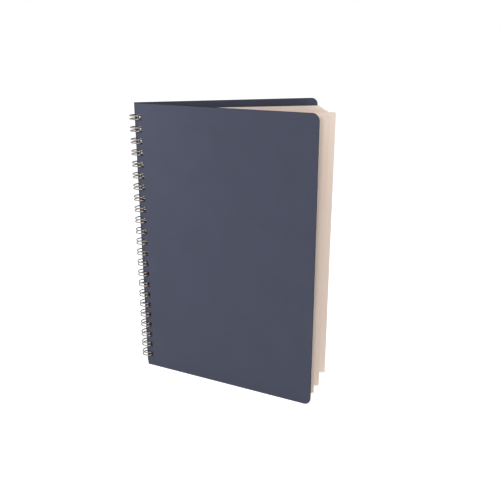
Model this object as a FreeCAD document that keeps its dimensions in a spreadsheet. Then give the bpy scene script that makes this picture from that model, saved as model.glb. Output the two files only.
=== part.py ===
import FreeCAD, Part
import math
import os
import Sketcher
from FreeCAD import Placement, Rotation, Vector

# A spiral notebook that stands on its bottom edges with the covers and the sheets fanned out.
# Lengths are millimetres and angles are degrees. Each piece is drawn about the axis of the wire loops,
# with X out to the fore edge, Y towards the back cover and Z up, and the whole is centred over the
# origin at the end.
doc = FreeCAD.newDocument("spiral_notebook")
sheet = doc.addObject("Spreadsheet::Sheet", "sizes")
SIZES = [
    # covers
    ("cover_width", 139.3),
    ("cover_end", 9.86),  # from the middle of the last hole to the end of the cover
    ("cover_thickness", 0.7),
    ("cover_corner_radius", 5.0),
    ("front_angle", -26.5),
    ("front_depth", 2.65),  # the axis of the loops lies this far behind the front cover's face
    ("front_slide", 0.3),  # how far the front cover is pulled out from the middle of its holes
    ("back_angle", 14.5),
    ("back_depth", 3.4),  # and this far in front of the back cover's face
    ("back_slide", -1.0),
    # holes punched beside the spine edge, one for each pair of wires
    ("hole_side", 4.0),
    ("hole_setback", 3.0),
    ("loop_count", 23),
    ("loop_pitch", 8.467),
    # wire
    ("loop_radius", 4.5),
    ("wire_diameter", 0.9),
    ("leg_spacing", 2.4),
    ("bend_size", 0.5),
    ("tip_gap", 0.4),
    # sheets
    ("page_end", 6.86),
    ("root_length", 7.6),
    ("page_hole_inset", 0.4),
    ("leaf_thickness", 0.52),
    # each gathering of sheets: its direction and how far its fore edge lies from the axis of the loops
    ("leaf1_angle", -20.5),
    ("leaf1_reach", 138.4),
    ("leaf2_angle", -15.7),
    ("leaf2_reach", 139.7),
    ("leaf3_angle", -7.0),
    ("leaf3_reach", 142.4),
    ("leaf4_angle", -2.8),
    ("leaf4_reach", 137.0),
    ("leaf5_angle", 1.6),
    ("leaf5_reach", 136.0),
    ("leaf6_angle", 6.0),
    ("leaf6_reach", 136.0),
    ("leaf7_angle", 10.5),
    ("leaf7_reach", 136.4),
    # clearances
    ("seat_gap", 0.15),  # under the wires in the holes that carry them
    ("cover_gap", 0.3),  # between the front cover and the first sheet at the spine
    ("seam_gap", 0.32),  # each side of the seam of the loops
]
for row, (alias, value) in enumerate(SIZES, start=1):
    sheet.set("A%d" % row, alias)
    sheet.set("B%d" % row, str(value))
    sheet.setAlias("B%d" % row, alias)
doc.recompute()

WIRE_SIDES = 6  # flats round the wire
LOOP_SIDES = 11  # straight runs round each loop
LEAVES = [alias.split("_")[0] for alias, _ in SIZES if alias.endswith("_reach")]
FIRST, LAST = LEAVES[0], LEAVES[-1]

# What follows from those sizes.
fits = doc.addObject("App::VarSet", "fits")


def fit(name, formula, kind="App::PropertyFloat"):
    """A size that follows from the sheet's sizes and the fits above it."""
    fits.addProperty(kind, name)
    fits.setExpression(name, formula)
    doc.recompute()


# Heights: the wires hang in the holes of the covers, and the sheets hang on the wires.
fit("run", "(sizes.loop_count - 1) * sizes.loop_pitch")
fit("drop", "(sizes.hole_side - sizes.leg_spacing - sizes.wire_diameter) / 2 - sizes.seat_gap")
fit("cover_height", "run + 2 * sizes.cover_end")
fit("wire_z", "sizes.cover_end - drop")
fit("page_height", "run + 2 * sizes.page_end")
fit("page_z", "wire_z - drop - sizes.page_end")
# Depths of the faces of the covers, and where their spine edges come once the wires are in the holes.
fit("front_inner", "sizes.cover_thickness - sizes.front_depth")
fit("back_inner", "sizes.back_depth - sizes.cover_thickness")
fit("front_reach", "sqrt(sizes.loop_radius^2 - (sizes.front_depth - sizes.cover_thickness / 2)^2)")
fit("back_reach", "sqrt(sizes.loop_radius^2 - (sizes.back_depth - sizes.cover_thickness / 2)^2)")
fit("front_spine", "front_reach + sizes.front_slide - sizes.hole_setback")
fit("back_spine", "back_reach + sizes.back_slide - sizes.hole_setback")
fit("page_spine", "sizes.loop_radius - sizes.page_hole_inset - sizes.hole_setback")
# The seam of the loops lies between the last sheet and the back cover.
fit("seam_room", "sizes.wire_diameter + 2 * sizes.seam_gap")
fit("back_crossing", "sizes.back_angle * 1deg + asin(back_inner / sizes.loop_radius)", "App::PropertyAngle")
fit("room_angle", "seam_room / sizes.loop_radius * 1rad", "App::PropertyAngle")
fit("seam_angle", "back_crossing - room_angle / 2", "App::PropertyAngle")
fit("last_crossing", "back_crossing - room_angle", "App::PropertyAngle")
# The stack of sheets between the front cover and the seam, as the depths of its two faces.
fit("last_depth", "sizes.loop_radius * sin(last_crossing - sizes.%s_angle * 1deg)" % LAST)
fit("first_turn", "(sizes.%s_angle - sizes.front_angle) * 1deg" % FIRST, "App::PropertyAngle")
fit("first_depth", "(front_inner + sizes.cover_gap - page_spine * sin(first_turn)) / cos(first_turn)")
PLACE = "page_spine * %s(sizes.%s_angle * 1deg) %s %s * %s(sizes.%s_angle * 1deg)"
fit("first_x", PLACE % ("cos", FIRST, "-", "first_depth", "sin", FIRST))
fit("first_y", PLACE % ("sin", FIRST, "+", "first_depth", "cos", FIRST))
fit("last_x", PLACE % ("cos", LAST, "-", "last_depth", "sin", LAST))
fit("last_y", PLACE % ("sin", LAST, "+", "last_depth", "cos", LAST))
fit("stack", "sqrt((last_x - first_x)^2 + (last_y - first_y)^2)")
fit("root_turn", "atan2(first_x - last_x; last_y - first_y)", "App::PropertyAngle")


def plane_of(body, role):
    """The origin plane of a body that has the given role."""
    return next(item for item in body.Origin.OriginFeatures if item.Role == role)


def upright_sketch(body, name, start, depth):
    """A sketch in a body's XZ plane, moved along X and back in Y by two formulas."""
    sketch = body.newObject("Sketcher::SketchObject", name)
    sketch.AttachmentSupport = [(plane_of(body, "XZ_Plane"), "")]
    sketch.MapMode = "FlatFace"
    sketch.setExpression("AttachmentOffset.Base.x", start)
    sketch.setExpression("AttachmentOffset.Base.z", "-(%s)" % depth)
    return sketch


def size(sketch, kind, refs, name, formula):
    """A sketch dimension that a formula drives."""
    index = sketch.addConstraint(Sketcher.Constraint(kind, *refs, float(sketch.evalExpression(formula))))
    sketch.renameConstraint(index, name)
    sketch.setExpression("Constraints." + name, formula)


def draw_card(sketch):
    """The outline of a cover: square at the spine and rounded at the fore edge."""
    width, height, radius = sheet.cover_width, fits.cover_height, sheet.cover_corner_radius
    line = Part.LineSegment
    sketch.addGeometry(line(Vector(0, height), Vector(0, 0)))
    sketch.addGeometry(line(Vector(0, 0), Vector(width - radius, 0)))
    lower = Part.Circle(Vector(width - radius, radius), Vector(0, 0, 1), radius)
    sketch.addGeometry(Part.ArcOfCircle(lower, 1.5 * math.pi, 2 * math.pi))
    sketch.addGeometry(line(Vector(width, radius), Vector(width, height - radius)))
    upper = Part.Circle(Vector(width - radius, height - radius), Vector(0, 0, 1), radius)
    sketch.addGeometry(Part.ArcOfCircle(upper, 0, 0.5 * math.pi))
    sketch.addGeometry(line(Vector(width - radius, height), Vector(0, height)))
    sketch.addConstraint(
        [
            Sketcher.Constraint("Coincident", 0, 2, 1, 1),
            Sketcher.Constraint("Tangent", 1, 2, 2, 1),
            Sketcher.Constraint("Tangent", 2, 2, 3, 1),
            Sketcher.Constraint("Tangent", 3, 2, 4, 1),
            Sketcher.Constraint("Tangent", 4, 2, 5, 1),
            Sketcher.Constraint("Coincident", 5, 2, 0, 1),
            Sketcher.Constraint("Vertical", 0),
            Sketcher.Constraint("Horizontal", 1),
            Sketcher.Constraint("Vertical", 3),
            Sketcher.Constraint("Horizontal", 5),
            Sketcher.Constraint("Equal", 2, 4),
            Sketcher.Constraint("Coincident", 0, 2, -1, 1),
        ]
    )
    size(sketch, "DistanceX", (0, 2, 3, 1), "width", "sizes.cover_width")
    size(sketch, "DistanceY", (0, 2, 0, 1), "height", "fits.cover_height")
    size(sketch, "Radius", (2,), "corner", "sizes.cover_corner_radius")


def draw_hole(sketch):
    """The lowest hole: a square beside the spine edge."""
    side, near = sheet.hole_side, sheet.hole_setback - sheet.hole_side / 2
    low = sheet.cover_end - side / 2
    corners = [Vector(near, low), Vector(near + side, low)]
    corners += [Vector(near + side, low + side), Vector(near, low + side)]
    for i in range(4):
        sketch.addGeometry(Part.LineSegment(corners[i], corners[(i + 1) % 4]))
    for i in range(4):
        sketch.addConstraint(Sketcher.Constraint("Coincident", i, 2, (i + 1) % 4, 1))
        sketch.addConstraint(Sketcher.Constraint(("Horizontal", "Vertical")[i % 2], i))
    half = "sizes.hole_side / 2"
    size(sketch, "DistanceX", (-1, 1, 0, 1), "near", "sizes.hole_setback - %s" % half)
    size(sketch, "DistanceY", (-1, 1, 0, 1), "low", "sizes.cover_end - %s" % half)
    size(sketch, "DistanceX", (0, 1, 0, 2), "across", "sizes.hole_side")
    size(sketch, "DistanceY", (1, 1, 1, 2), "up", "sizes.hole_side")


def make_cover(name, spine, near_face):
    """A sheet of stiff card with a row of square holes. near_face is the depth of its nearer face."""
    body = doc.addObject("PartDesign::Body", name)
    outline = upright_sketch(body, name + "_outline", spine, near_face + " + sizes.cover_thickness")
    draw_card(outline)
    card = body.newObject("PartDesign::Pad", name + "_card")
    card.Profile = outline
    card.setExpression("Length", "sizes.cover_thickness")
    doc.recompute()
    square = upright_sketch(body, name + "_hole", spine, near_face)
    draw_hole(square)
    punch = body.newObject("PartDesign::Pocket", name + "_punch")
    punch.Profile = square
    punch.Type = "ThroughAll"
    punch.Midplane = True
    doc.recompute()
    row = body.newObject("PartDesign::LinearPattern", name + "_holes")
    row.Originals = [punch]
    row.Direction = (square, ["V_Axis"])
    row.setExpression("Length", "fits.run")
    row.setExpression("Occurrences", "sizes.loop_count")
    body.Tip = row
    doc.recompute()
    whole = sheet.cover_width * fits.cover_height - (2 - math.pi / 2) * sheet.cover_corner_radius**2
    holes = sheet.loop_count * sheet.hole_side**2
    if abs(body.Shape.Volume / sheet.cover_thickness - whole + holes) > 1:
        raise RuntimeError(name + " has lost its holes")
    return body


def make_pages():
    """The sheets: gatherings that fan out of the root that the wires hold, all in one solid."""
    root = doc.addObject("Part::Box", "page_root")
    root.setExpression("Length", "sizes.root_length")
    root.setExpression("Width", "fits.stack")
    root.setExpression("Height", "fits.page_height")
    root.setExpression("Placement.Base.x", "fits.first_x")
    root.setExpression("Placement.Base.y", "fits.first_y")
    root.setExpression("Placement.Base.z", "fits.page_z")
    root.setExpression("Placement.Rotation.Angle", "fits.root_turn")
    leaves = []
    for i, leaf in enumerate(LEAVES):
        box = doc.addObject("Part::Box", leaf)
        box.setExpression("Length", "sizes.%s_reach - fits.page_spine" % leaf)
        box.setExpression("Width", "sizes.leaf_thickness")
        box.setExpression("Height", "fits.page_height")
        # the first leaf lies on the front face of the stack and the last one on its back face
        share = i / (len(LEAVES) - 1)
        for axis, side in (("x", "- sin"), ("y", "+ cos")):
            along = "fits.first_%s + (fits.last_%s - fits.first_%s) * %g" % (axis, axis, axis, share)
            across = "%s(sizes.%s_angle * 1deg) * %g * sizes.leaf_thickness" % (side, leaf, -share)
            box.setExpression("Placement.Base." + axis, along + " " + across)
        box.setExpression("Placement.Base.z", "fits.page_z")
        box.setExpression("Placement.Rotation.Angle", "sizes.%s_angle * 1deg" % leaf)
        leaves.append(box)
    block = doc.addObject("Part::MultiFuse", "page_stack")
    block.Shapes = [root] + leaves
    block.Refine = True
    punches = []
    for i in range(int(sheet.loop_count)):
        punch = doc.addObject("Part::Box", "page_punch%d" % (i + 1))
        punch.setExpression("Length", "sizes.hole_side")
        punch.setExpression("Width", "4 * sizes.loop_radius")
        punch.setExpression("Height", "sizes.hole_side")
        setback = "(sizes.loop_radius - sizes.page_hole_inset - sizes.hole_side / 2)"
        deep = "2 * sizes.loop_radius"
        turned = "%s * cos(fits.root_turn) + %s * sin(fits.root_turn)" % (setback, deep)
        punch.setExpression("Placement.Base.x", turned)
        turned = "%s * sin(fits.root_turn) - %s * cos(fits.root_turn)" % (setback, deep)
        punch.setExpression("Placement.Base.y", turned)
        height = "fits.wire_z - fits.drop - sizes.hole_side / 2 + %d * sizes.loop_pitch" % i
        punch.setExpression("Placement.Base.z", height)
        punch.setExpression("Placement.Rotation.Angle", "fits.root_turn")
        punches.append(punch)
    holes = doc.addObject("Part::Compound", "page_holes")
    holes.Links = punches
    pages = doc.addObject("Part::Cut", "page_block")
    pages.Base = block
    pages.Tool = holes
    return pages


def on_loop(angle, height):
    """A point on the middle line of the wire, by its angle round the axis of the loops in radians."""
    return Vector(sheet.loop_radius * math.cos(angle), sheet.loop_radius * math.sin(angle), height)


def half_loop_line():
    """The middle line of half a loop, from its tip, round one leg, to mid-way along the seam."""
    radius, spacing = sheet.loop_radius, sheet.leg_spacing
    seam = math.radians(fits.seam_angle.Value)
    leg_start = seam - sheet.bend_size / radius
    leg_end = seam - 2 * math.pi + (spacing / 2 + sheet.tip_gap) / radius
    tip = spacing / 2 / radius
    points = [on_loop(leg_end - tip, 0)]
    points.append(on_loop(leg_end - tip * math.sin(math.pi / 4), spacing / 2 * math.cos(math.pi / 4)))
    for i in range(LOOP_SIDES, -1, -1):
        points.append(on_loop(leg_start + (leg_end - leg_start) * i / LOOP_SIDES, spacing / 2))
    points.append(on_loop(seam, spacing / 2 + sheet.bend_size))
    points.append(on_loop(seam, sheet.loop_pitch / 2))
    return points


def half_loop_faces():
    """The flats of the wire along half a loop, mitred where it turns."""
    line = half_loop_line()
    out = Vector(line[0].x, line[0].y, 0).normalize()
    side = Vector(-out.y, out.x, 0)
    corners = []
    for i in range(WIRE_SIDES):
        turn = 2 * math.pi * i / WIRE_SIDES
        reach = out * math.cos(turn) + side * math.sin(turn)
        corners.append(line[0] + reach * (sheet.wire_diameter / 2))
    faces = []
    for i in range(1, len(line)):
        run = (line[i] - line[i - 1]).normalize()
        onward = (line[i + 1] - line[i]).normalize() if i + 1 < len(line) else Vector(0, 0, 1)
        mitre = run + onward
        ends = [c + run * ((line[i] - c).dot(mitre) / run.dot(mitre)) for c in corners]
        for k in range(WIRE_SIDES):
            n = (k + 1) % WIRE_SIDES
            outline = [corners[k], corners[n], ends[n], ends[k], corners[k]]
            faces.append(Part.Face(Part.makePolygon(outline)))
        corners = ends
    return faces, corners


def make_wire():
    """One wire bent into pairs of loops, joined by short runs along the seam."""
    faces, corners = half_loop_faces()
    upper = Part.Compound(faces)
    loop = Part.Compound([upper, upper.mirror(Vector(0, 0, 0), Vector(0, 0, 1))])
    end = Part.Face(Part.makePolygon(corners + corners[:1]))
    count, pitch, low = int(sheet.loop_count), sheet.loop_pitch, fits.wire_z
    parts = []
    for i in range(count):
        parts += loop.translated(Vector(0, 0, low + i * pitch)).Faces
    parts.append(end.translated(Vector(0, 0, low - pitch)))
    parts.append(end.translated(Vector(0, 0, low + (count - 1) * pitch)))
    shell = Part.Compound(parts)
    shell.sewShape()
    solid = Part.Solid(shell.Shells[0])
    if solid.Volume < 0:
        solid.reverse()
    wire = doc.addObject("Part::Feature", "wire_binding")
    wire.Shape = solid
    return wire


front = make_cover("front_cover", "fits.front_spine", "-sizes.front_depth")
back = make_cover("back_cover", "fits.back_spine", "fits.back_inner")
pages = make_pages()
doc.recompute()
wire = make_wire()
turns = {front: sheet.front_angle, back: sheet.back_angle, pages: 0, wire: 0}
for piece, turn in turns.items():
    piece.Placement = Placement(Vector(0, 0, 0), Rotation(Vector(0, 0, 1), turn))
doc.recompute()

# The middle of the footprint comes over the origin.
box = FreeCAD.BoundBox()
for piece in turns:
    box.add(piece.Shape.optimalBoundingBox(False))
middle = Vector(box.Center.x, box.Center.y, box.ZMin)
for piece, turn in turns.items():
    piece.Placement = Placement(-middle, Rotation(Vector(0, 0, 1), turn))
doc.recompute()

for item in doc.Objects:
    if "Invalid" in item.State or "Error" in item.State:
        raise RuntimeError(item.Name + " failed")
os.makedirs("parts", exist_ok=True)
for piece in turns:
    shape = piece.Shape
    if shape.isNull() or not shape.isValid() or len(shape.Solids) != 1:
        raise RuntimeError(piece.Label + " is not one valid solid")
    shape.exportStep("parts/%s.step" % piece.Label)
    print(piece.Label, "volume", round(shape.Volume, 1), "faces", len(shape.Faces))
print("axis of the loops", round(-middle.x, 4), round(-middle.y, 4), "box", box)
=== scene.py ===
import bpy
import math
import random
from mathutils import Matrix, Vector


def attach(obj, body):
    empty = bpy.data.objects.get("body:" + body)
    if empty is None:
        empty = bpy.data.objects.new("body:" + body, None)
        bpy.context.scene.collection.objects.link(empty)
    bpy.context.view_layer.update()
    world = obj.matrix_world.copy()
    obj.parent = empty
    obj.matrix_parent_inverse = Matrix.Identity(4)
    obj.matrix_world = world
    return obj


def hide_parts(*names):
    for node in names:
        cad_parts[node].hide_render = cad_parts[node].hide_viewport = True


# A spiral notebook that stands on its bottom edges, fanned open. Lengths are in millimetres.
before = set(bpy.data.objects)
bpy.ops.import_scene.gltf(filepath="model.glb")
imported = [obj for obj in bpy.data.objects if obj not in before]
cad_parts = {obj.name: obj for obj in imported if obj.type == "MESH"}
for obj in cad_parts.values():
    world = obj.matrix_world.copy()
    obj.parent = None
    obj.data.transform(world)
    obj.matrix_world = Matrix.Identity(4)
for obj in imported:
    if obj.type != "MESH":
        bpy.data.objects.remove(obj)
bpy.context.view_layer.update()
random.seed(23)
mm = 0.001
smoothAngle = 35  # degrees: sharper edges of the added meshes stay sharp
loopAxis = (-67.9372, 13.5257)  # the wire loops go round this upright line
print("frame loaded")


def aroundAxis(radius, height, angle):
    # a point at this distance from the loop axis, in the direction of angle in degrees
    turn = math.radians(angle)
    x = loopAxis[0] + radius * math.cos(turn)
    y = loopAxis[1] + radius * math.sin(turn)
    return Vector((x, y, height)) * mm


def addMesh(name, verts, faces, material):
    mesh = bpy.data.meshes.new(name)
    mesh.from_pydata(verts, [], faces)
    mesh.materials.append(material)
    mesh.shade_smooth()
    mesh.set_sharp_from_angle(angle=math.radians(smoothAngle))
    obj = bpy.data.objects.new(name, mesh)
    bpy.context.scene.collection.objects.link(obj)
    return obj


# Finishes
noises = {
    "fibres": {"scale": "Fibre Scale", "amount": "Fibre Amount", "detail": 6.0, "roughness": 0.7},
    "clouds": {"scale": "Cloud Scale", "amount": "Cloud Amount", "detail": 3.0, "roughness": 0.5},
}


def newNode(tree, kind, place, **values):
    node = tree.nodes.new(kind)
    node.location = place
    for name, value in values.items():
        setattr(node, name, value)
    return node


def buildFibreGrain():
    # mottled fibres for anything made of pulp: a colour that wanders, and a height for the bump
    group = bpy.data.node_groups.new("fibreGrain", "ShaderNodeTree")
    face = group.interface
    face.new_socket(name="Colour", in_out="INPUT", socket_type="NodeSocketColor")
    for kind in noises.values():
        for name in (kind["scale"], kind["amount"]):
            face.new_socket(name=name, in_out="INPUT", socket_type="NodeSocketFloat")
    face.new_socket(name="Colour", in_out="OUTPUT", socket_type="NodeSocketColor")
    face.new_socket(name="Height", in_out="OUTPUT", socket_type="NodeSocketFloat")
    link = group.links.new
    given = newNode(group, "NodeGroupInput", (-900, 0))
    coords = newNode(group, "ShaderNodeTexCoord", (-900, 300))
    shade = None
    heights = {}
    for row, (name, kind) in enumerate(noises.items()):
        level = -300 * row
        noise = newNode(group, "ShaderNodeTexNoise", (-650, level))
        noise.inputs["Detail"].default_value = kind["detail"]
        noise.inputs["Roughness"].default_value = kind["roughness"]
        link(coords.outputs["Object"], noise.inputs["Vector"])
        link(given.outputs[kind["scale"]], noise.inputs["Scale"])
        heights[name] = noise.outputs["Fac"]
        centred = newNode(group, "ShaderNodeMath", (-450, level), operation="SUBTRACT")
        centred.inputs[1].default_value = 0.5  # the middle of the noise
        link(heights[name], centred.inputs[0])
        sized = newNode(group, "ShaderNodeMath", (-270, level), operation="MULTIPLY")
        link(centred.outputs[0], sized.inputs[0])
        link(given.outputs[kind["amount"]], sized.inputs[1])
        total = newNode(group, "ShaderNodeMath", (-90, level), operation="ADD")
        link(sized.outputs[0], total.inputs[0])
        if shade is None:
            total.inputs[1].default_value = 1.0
        else:
            link(shade, total.inputs[1])
        shade = total.outputs[0]
    tinted = newNode(group, "ShaderNodeVectorMath", (100, 0), operation="SCALE")
    link(given.outputs["Colour"], tinted.inputs[0])
    link(shade, tinted.inputs["Scale"])
    result = newNode(group, "NodeGroupOutput", (300, 0))
    link(tinted.outputs[0], result.inputs["Colour"])
    link(heights["fibres"], result.inputs["Height"])
    return group


fibreGrain = buildFibreGrain()


def pulpMaterial(name, look):
    material = bpy.data.materials.new(name)
    material.use_nodes = True
    tree = material.node_tree
    shader = tree.nodes["Principled BSDF"]
    grain = newNode(tree, "ShaderNodeGroup", (-500, 200), node_tree=fibreGrain)
    grain.inputs["Colour"].default_value = (*look["colour"], 1)
    grain.inputs["Fibre Scale"].default_value = look["fibreScale"]
    grain.inputs["Fibre Amount"].default_value = look["fibreAmount"]
    grain.inputs["Cloud Scale"].default_value = look["cloudScale"]
    grain.inputs["Cloud Amount"].default_value = look["cloudAmount"]
    bump = newNode(tree, "ShaderNodeBump", (-250, -100))
    bump.inputs["Strength"].default_value = look["bumpStrength"]
    bump.inputs["Distance"].default_value = look["bumpDepth"] * mm
    tree.links.new(grain.outputs["Height"], bump.inputs["Height"])
    tree.links.new(grain.outputs["Colour"], shader.inputs["Base Color"])
    tree.links.new(bump.outputs["Normal"], shader.inputs["Normal"])
    shader.inputs["Roughness"].default_value = look["roughness"]
    shader.inputs["Specular IOR Level"].default_value = look["specular"]
    return material


def metalMaterial(name, look):
    material = bpy.data.materials.new(name)
    material.use_nodes = True
    shader = material.node_tree.nodes["Principled BSDF"]
    shader.inputs["Base Color"].default_value = (*look["colour"], 1)
    shader.inputs["Metallic"].default_value = 1.0
    shader.inputs["Roughness"].default_value = look["roughness"]
    return material


# Covers: the CAD cards keep their shape, with softened edges darkened as painted shade and a
# slate-blue finish
covers = {
    "names": ("front_cover", "back_cover"),
    "joinDistance": 0.001,
    "edgeRounding": 0.25,
    "roundingSteps": 2,
    "roundedAngle": 40,  # degrees: sharper edges are rounded
    "broadFace": 0.9,  # faces turned closer than this to the card's broad side are not cut edges
    "colour": (0.056, 0.061, 0.091),
    "edgeShadeColour": (0.012, 0.012, 0.015),  # the cut edges and their rounding, darkened as painted shade along the card's edges
    "fibreScale": 2600,
    "fibreAmount": 0.7,
    "cloudScale": 45,
    "cloudAmount": 0.16,
    "bumpStrength": 0.35,
    "bumpDepth": 0.06,
    "roughness": 0.6,
    "specular": 0.12,
    "edgeShadeSpecular": 0.0,
}


def dressCovers():
    card = pulpMaterial("slateCard", covers)
    edgeShadeLook = {**covers, "colour": covers["edgeShadeColour"], "specular": covers["edgeShadeSpecular"]}
    edgeShadeMaterial = pulpMaterial("shadedCardEdge", edgeShadeLook)
    for name in covers["names"]:
        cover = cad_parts[name]
        cover.data.materials.clear()
        cover.data.materials.append(card)
        cover.data.materials.append(edgeShadeMaterial)
        broad = max(cover.data.polygons, key=lambda face: face.area).normal.copy()
        # cut edge faces get the second, darker material: painted shade along the card's edges
        for face in cover.data.polygons:
            face.material_index = 0 if abs(face.normal.dot(broad)) > covers["broadFace"] else 1
        joined = cover.modifiers.new("joinedFaces", "WELD")  # the CAD faces come unjoined
        joined.merge_threshold = covers["joinDistance"] * mm
        bevel = cover.modifiers.new("softEdges", "BEVEL")
        bevel.width = covers["edgeRounding"] * mm
        bevel.segments = covers["roundingSteps"]
        bevel.limit_method = "ANGLE"
        bevel.angle_limit = math.radians(covers["roundedAngle"])
        # the rounding takes that darker material too: more painted edge shade
        bevel.material = 1


dressCovers()
print("covers dressed")

# Sheets: thin cream leaves in loose gatherings, each with its own row of square holes
sheets = {
    "height": 199.9,
    "bottom": 1.3,
    "firstRoot": (0.409, -2.048),  # where the front face of the stack starts, from the loop axis
    "lastRoot": (0.784, 1.805),
    "spineEdge": 1.1,
    "gatherings": (  # direction in degrees, and how far the fore edge lies from the loop axis
        (-20.5, 138.4), (-15.7, 139.7), (-7.0, 142.4), (-2.8, 137.0),
        (1.6, 136.0), (6.0, 136.0), (10.5, 136.4),
    ),
    "perGathering": 5,
    "gatheringDepth": 0.52,
    "thickness": 0.09,
    "spread": 0.16,  # degrees between neighbours in a gathering
    "unevenness": 0.9,  # at the fore edges
    "bow": 0.35,
    "lean": 0.6,  # the fore edges draw in this much at the foot
    "holeSide": 4.0,
    "holeStart": 1.0,
    "holeCount": 23,
    "holePitch": 8.467,
    "lowestHole": 9.46,
    "bends": 8,  # columns past the holes
    "colour": (0.80, 0.69, 0.61),
    "sideShadeColour": (0.62, 0.52, 0.45),  # the narrow sides of each sheet, darkened as painted shade for the gaps between sheets
    "fibreScale": 900,
    "fibreAmount": 0.10,
    "cloudScale": 25,
    "cloudAmount": 0.05,
    "bumpStrength": 0.2,
    "bumpDepth": 0.03,
    "roughness": 0.85,
    "specular": 0.2,
}


def sheetRows():
    # heights of the rows of a sheet, from its bottom: every second row holds a hole
    rows = [0.0]
    for i in range(sheets["holeCount"]):
        middle = sheets["lowestHole"] - sheets["bottom"] + i * sheets["holePitch"]
        rows += [middle - sheets["holeSide"] / 2, middle + sheets["holeSide"] / 2]
    return rows + [sheets["height"]]


def sheetColumns(length):
    holeEnd = sheets["holeStart"] + sheets["holeSide"]
    columns = [0.0, sheets["holeStart"], holeEnd]
    for i in range(1, sheets["bends"] + 1):
        columns.append(holeEnd + (length - holeEnd) * i / sheets["bends"])
    return columns


def addSheet(verts, faces, cutFaces, root, depth, angle, length, bow):
    # one closed leaf that leaves the root point in the direction of angle
    columns, rows = sheetColumns(length), sheetRows()
    first = len(verts)
    turn = math.radians(angle)
    ahead = Vector((math.cos(turn), math.sin(turn), 0))
    across = Vector((-math.sin(turn), math.cos(turn), 0))
    start = Vector((loopAxis[0] + root[0], loopAxis[1] + root[1], sheets["bottom"]))
    for side in (-0.5, 0.5):
        for along in columns:
            lift = depth + side * sheets["thickness"] + bow * math.sin(math.pi * along / length) ** 2
            for height in rows:
                drawn = sheets["lean"] * (1 - height / sheets["height"]) * along / length
                place = start + ahead * (along - drawn) + across * lift
                verts.append((place + Vector((0, 0, height))) * mm)
    count = len(rows)
    back = first + len(columns) * count

    def isPaper(i, j):
        inside = 0 <= i < len(columns) - 1 and 0 <= j < count - 1
        return inside and not (i == 1 and j % 2 == 1)

    for i in range(len(columns) - 1):
        for j in range(count - 1):
            if not isPaper(i, j):
                continue
            a, b = i * count + j, (i + 1) * count + j
            faces.append((first + a, first + b, first + b + 1, first + a + 1))
            faces.append((back + a, back + a + 1, back + b + 1, back + b))
            for beside, p, q in (((i - 1, j), a + 1, a), ((i + 1, j), b, b + 1),
                                 ((i, j - 1), a, b), ((i, j + 1), b + 1, a + 1)):
                if not isPaper(*beside):
                    cutFaces.append(len(faces))
                    faces.append((first + q, first + p, back + p, back + q))


def makeSheets():
    verts, faces, cutFaces = [], [], []
    groups = sheets["gatherings"]
    for g, (angle, reach) in enumerate(groups):
        share = g / (len(groups) - 1)
        root = [a + (b - a) * share for a, b in zip(sheets["firstRoot"], sheets["lastRoot"])]
        bow = sheets["bow"] * random.uniform(-1, 1)
        for k in range(sheets["perGathering"]):
            step = (k + 0.5) / sheets["perGathering"]
            depth = (step - share) * sheets["gatheringDepth"]
            fan = (k - (sheets["perGathering"] - 1) / 2) * sheets["spread"]
            length = reach - sheets["spineEdge"] - random.uniform(0, sheets["unevenness"])
            addSheet(verts, faces, cutFaces, root, depth, angle + fan, length, bow)
    obj = addMesh("sheets", verts, faces, pulpMaterial("creamPaper", sheets))
    # the narrow sides get a darker paper: painted shade standing in for the gaps between sheets
    obj.data.materials.append(pulpMaterial("shadedPaperSides", {**sheets, "colour": sheets["sideShadeColour"]}))
    for i in cutFaces:
        obj.data.polygons[i].material_index = 1
    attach(obj, "binding")
    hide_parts("page_block")


makeSheets()
print("sheets made")

# Wire: one round wire, bent into twin loops that close along a seam inside the back cover
wire = {
    "loopRadius": 4.5,
    "thickness": 0.9,
    "loopCount": 23,
    "pitch": 8.467,
    "lowestLoop": 9.66,
    "legSpacing": 2.4,
    "bendRadius": 0.8,
    "tipGap": 0.4,
    "seamAngle": 41.57,
    "legPoints": 44,
    "bendPoints": 5,
    "tipPoints": 5,  # in half a tip
    "roundness": 2,  # bevel resolution
    "colour": (0.25, 0.225, 0.21),
    "roughness": 0.26,
}


def arc(centre, radius, start, end, count):
    # points of an arc in the unrolled loop surface: distance round the loop, height
    points = []
    for i in range(count + 1):
        turn = math.radians(start + (end - start) * i / count)
        points.append((centre[0] + radius * math.cos(turn), centre[1] + radius * math.sin(turn)))
    return points


def pairOutline():
    # half of one pair of loops, from mid-way along the seam below it to the middle of its tip
    half, bend = wire["legSpacing"] / 2, wire["bendRadius"]
    legEnd = 2 * math.pi * wire["loopRadius"] - half - wire["tipGap"]
    lower = [(0.0, -wire["pitch"] / 2)]
    lower += arc((bend, -half - bend), bend, 180, 90, wire["bendPoints"])
    run = legEnd - bend
    lower += [(bend + run * i / wire["legPoints"], -half) for i in range(1, wire["legPoints"])]
    lower += arc((legEnd, 0.0), half, -90, 0, wire["tipPoints"])
    return lower


def makeWire():
    half = pairOutline()
    pair = half + [(s, -z) for s, z in reversed(half[:-1])]
    line = []
    for i in range(wire["loopCount"]):
        height = wire["lowestLoop"] + i * wire["pitch"]
        for s, z in pair[1 if i else 0:]:
            turn = wire["seamAngle"] - math.degrees(s / wire["loopRadius"])
            line.append(aroundAxis(wire["loopRadius"], height + z, turn))
    curve = bpy.data.curves.new("wireLoops", "CURVE")
    curve.dimensions = "3D"
    curve.bevel_depth = wire["thickness"] / 2 * mm
    curve.bevel_resolution = wire["roundness"]
    curve.use_fill_caps = True
    curve.materials.append(metalMaterial("brightWire", wire))
    spline = curve.splines.new("POLY")
    spline.points.add(len(line) - 1)
    for point, place in zip(spline.points, line):
        point.co = (*place, 1)
    spline.use_smooth = True
    obj = bpy.data.objects.new("wireLoops", curve)
    bpy.context.scene.collection.objects.link(obj)
    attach(obj, "binding")
    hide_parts("wire_binding")


makeWire()
print("wire made")

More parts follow.
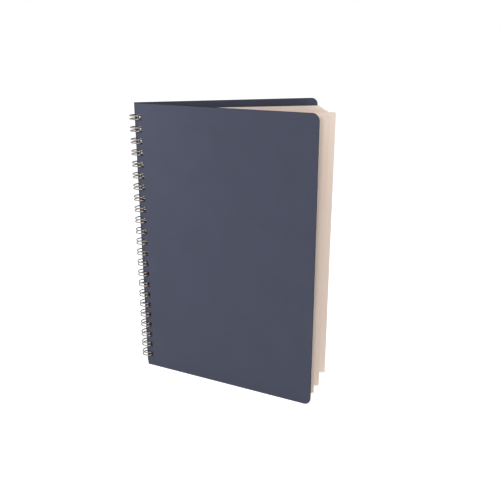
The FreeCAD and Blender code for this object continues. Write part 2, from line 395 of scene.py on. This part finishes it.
# Room: a white floor and world, three soft lamps, and the camera that took the photograph
room = {
    "floorSize": 60000,
    "floorColour": (0.9, 0.9, 0.9),
    "floorRoughness": 0.9,
    "floorGlow": 0.5,  # where the camera sees it, or a reflection does
    "floorBounce": 0.32,  # what the floor adds to the light on the notebook
    "worldLight": 0.63,  # what lights the notebook
    "worldSeen": 1.0,
    "lamps": (  # place, size and power in watts: front right, near left and above
        ((520, -660, 200), 500, 1.1),
        ((-230, -60, 190), 140, 0.19),
        ((60, -180, 720), 300, 1.8),
    ),
    "aim": (0, 0, 100),
}
camera = {
    "place": (13.6157, -462.937, 253.88),
    "pitch": 18.38,  # degrees below the horizon
    "lens": 47.305,
    "sensor": 36.0,
    "nearest": 10,
}


def seenDirectly(tree):
    # 1 for camera, glossy and transmission rays, 0 for the rays that light things
    path = newNode(tree, "ShaderNodeLightPath", (-700, 0))
    first = newNode(tree, "ShaderNodeMath", (-500, 0), operation="ADD")
    tree.links.new(path.outputs["Is Camera Ray"], first.inputs[0])
    tree.links.new(path.outputs["Is Glossy Ray"], first.inputs[1])
    second = newNode(tree, "ShaderNodeMath", (-320, 0), operation="ADD", use_clamp=True)
    tree.links.new(first.outputs[0], second.inputs[0])
    tree.links.new(path.outputs["Is Transmission Ray"], second.inputs[1])
    return second.outputs[0]


def makeWorld():
    world = bpy.data.worlds.new("studio")
    bpy.context.scene.world = world
    world.use_nodes = True
    tree = world.node_tree
    background = tree.nodes["Background"]
    background.inputs["Color"].default_value = (1, 1, 1, 1)
    strength = newNode(tree, "ShaderNodeMapRange", (-150, 0))
    strength.inputs["To Min"].default_value = room["worldLight"]
    strength.inputs["To Max"].default_value = room["worldSeen"]
    tree.links.new(seenDirectly(tree), strength.inputs["Value"])
    tree.links.new(strength.outputs["Result"], background.inputs["Strength"])


def makeFloor():
    material = bpy.data.materials.new("paleFloor")
    material.use_nodes = True
    tree = material.node_tree
    shader = tree.nodes["Principled BSDF"]
    shader.inputs["Base Color"].default_value = (*room["floorColour"], 1)
    shader.inputs["Roughness"].default_value = room["floorRoughness"]
    shader.inputs["Specular IOR Level"].default_value = 0.0
    glow = newNode(tree, "ShaderNodeMapRange", (-150, -200))
    glow.inputs["To Min"].default_value = room["floorBounce"]
    glow.inputs["To Max"].default_value = room["floorGlow"]
    tree.links.new(seenDirectly(tree), glow.inputs["Value"])
    shader.inputs["Emission Color"].default_value = (1, 1, 1, 1)
    tree.links.new(glow.outputs["Result"], shader.inputs["Emission Strength"])
    half = room["floorSize"] / 2 * mm
    corners = [(-half, -half, 0), (half, -half, 0), (half, half, 0), (-half, half, 0)]
    addMesh("floor", corners, [(0, 1, 2, 3)], material)


def makeLamps():
    for place, size, power in room["lamps"]:
        light = bpy.data.lights.new("softBox", "AREA")
        light.energy = power
        light.size = size * mm
        lamp = bpy.data.objects.new("softBox", light)
        lamp.location = Vector(place) * mm
        aim = Vector(room["aim"]) * mm - lamp.location
        lamp.rotation_euler = aim.to_track_quat("-Z", "Y").to_euler()
        bpy.context.scene.collection.objects.link(lamp)


def makeCamera():
    data = bpy.data.cameras.new("camera")
    data.lens = camera["lens"]
    data.sensor_width = camera["sensor"]
    data.clip_start = camera["nearest"] * mm
    eye = bpy.data.objects.new("camera", data)
    eye.location = Vector(camera["place"]) * mm
    eye.rotation_euler = (math.radians(90 - camera["pitch"]), 0, 0)
    bpy.context.scene.collection.objects.link(eye)
    bpy.context.scene.camera = eye


makeWorld()
makeFloor()
makeLamps()
makeCamera()
bpy.context.scene.view_settings.view_transform = "Standard"
print("room ready")
